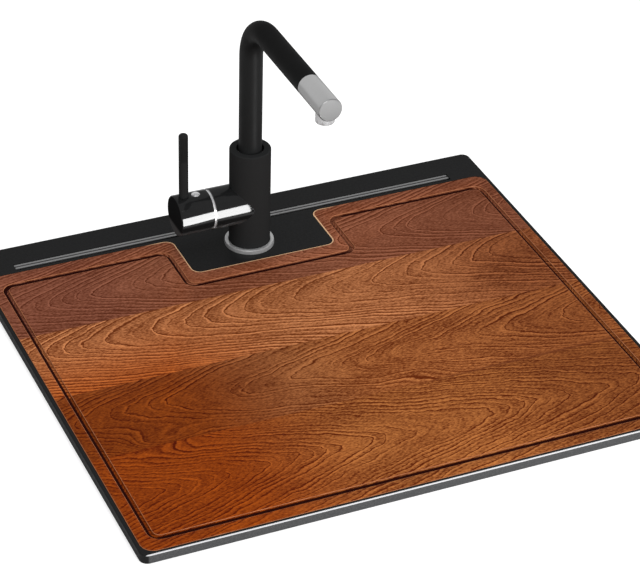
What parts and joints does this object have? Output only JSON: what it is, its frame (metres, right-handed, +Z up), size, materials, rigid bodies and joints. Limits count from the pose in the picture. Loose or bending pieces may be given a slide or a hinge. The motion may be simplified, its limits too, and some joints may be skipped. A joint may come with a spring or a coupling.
{
  "type": "workstation kitchen sink",
  "caption": "Black inset kitchen sink under a full-size wooden cutting board, with a ribbed rear slot and a side-lever mixer tap whose pale spray head pulls out of a swivelling angled spout",
  "frame": {"origin": "Centre of the sink's footprint in the plane of the worktop's upper face, on which the rim rests", "axes": "+X to the right of the person at the sink, +Y away from them to the wall behind the tap, +Z up; the rim reaches from y = -255 to 255 mm"},
  "size_m": [0.56, 0.51, 0.5779],
  "materials": {
    "black_composite": "satin, fine grain",
    "oiled_wood": "oiled, satin",
    "brushed_rail": "brushed",
    "foam_seal": "matt",
    "clip_steel": "zinc plated",
    "screw_steel": "zinc plated",
    "strainer_steel": "polished",
    "seal_rubber": "matt",
    "waste_plastic": "matt",
    "black_coating": "matt powder coat",
    "satin_ring": "satin",
    "brass_thread": "machined",
    "washer_steel": "zinc plated",
    "cartridge_ceramic": "matt",
    "bright_chrome": "polished",
    "stem_steel": "machined",
    "slide_plastic": "smooth",
    "head_grey": "satin",
    "hose_braid": "braided",
    "nozzle_grey": "smooth"
  },
  "bodies": {
    "sink": {"sink_moulding": "black_composite", "slot_rail": "brushed_rail", "rim_seal": "foam_seal", "mounting_clips": "clip_steel", "clip_screws": "screw_steel", "strainer_flange": "strainer_steel", "strainer_gasket": "seal_rubber", "waste_gasket": "seal_rubber", "waste_body": "waste_plastic", "waste_screw": "screw_steel", "overflow_cover": "strainer_steel", "overflow_seal": "seal_rubber", "overflow_pipe": "waste_plastic", "tap_base_ring": "satin_ring", "base_seal": "seal_rubber", "tap_body": "black_coating", "threaded_shank": "brass_thread", "rubber_washer": "seal_rubber", "clamp_washer": "washer_steel", "shank_nut": "brass_thread", "mixer_cartridge": "cartridge_ceramic", "cartridge_nut": "brass_thread", "trim_ring": "bright_chrome", "spout_bush": "slide_plastic", "spout_lock_screw": "stem_steel"},
    "board": {"cutting_board": "oiled_wood"},
    "basket": {"strainer_basket": "strainer_steel", "basket_post": "strainer_steel", "basket_seal": "seal_rubber"},
    "turret": {"cartridge_turret": "slide_plastic", "stem_pin": "stem_steel"},
    "handle": {"cartridge_stem": "stem_steel", "control_knob": "black_coating", "lever_rod": "black_coating", "grub_screw": "stem_steel", "knob_plug": "bright_chrome"},
    "spout": {"spout_tube": "black_coating", "spout_seals": "seal_rubber"},
    "head": {"spray_head": "head_grey", "spray_seal": "seal_rubber", "spray_hose": "hose_braid", "aerator_collar": "bright_chrome", "aerator_insert": "nozzle_grey"}
  },
  "joints": [
    {"name": "board_lift", "type": "slide", "parent": "sink", "child": "board", "axis": [0, 0, 1], "range_m": [0, 0.015]},
    {"name": "basket_lift", "type": "slide", "parent": "sink", "child": "basket", "axis": [0, 0, 1], "range_m": [0, 0.15]},
    {"name": "handle_temperature", "type": "hinge", "parent": "sink", "child": "turret", "pos_m": [-0.047, 0.177, 0.0582], "axis": [1, 0, 0], "range_deg": [-45, 45]},
    {"name": "handle_flow", "type": "hinge", "parent": "turret", "child": "handle", "pos_m": [-0.047, 0.177, 0.0502], "axis": [0, -1, 0], "range_deg": [0, 15]},
    {"name": "spout_swivel", "type": "hinge", "parent": "sink", "child": "spout", "pos_m": [-0.004, 0.177, 0.1], "axis": [0, 0, 1], "range_deg": [-90, 90]},
    {"name": "head_pull", "type": "slide", "parent": "spout", "child": "head", "axis": [0, -1, 0], "range_m": [0, 0.08]}
  ]
}
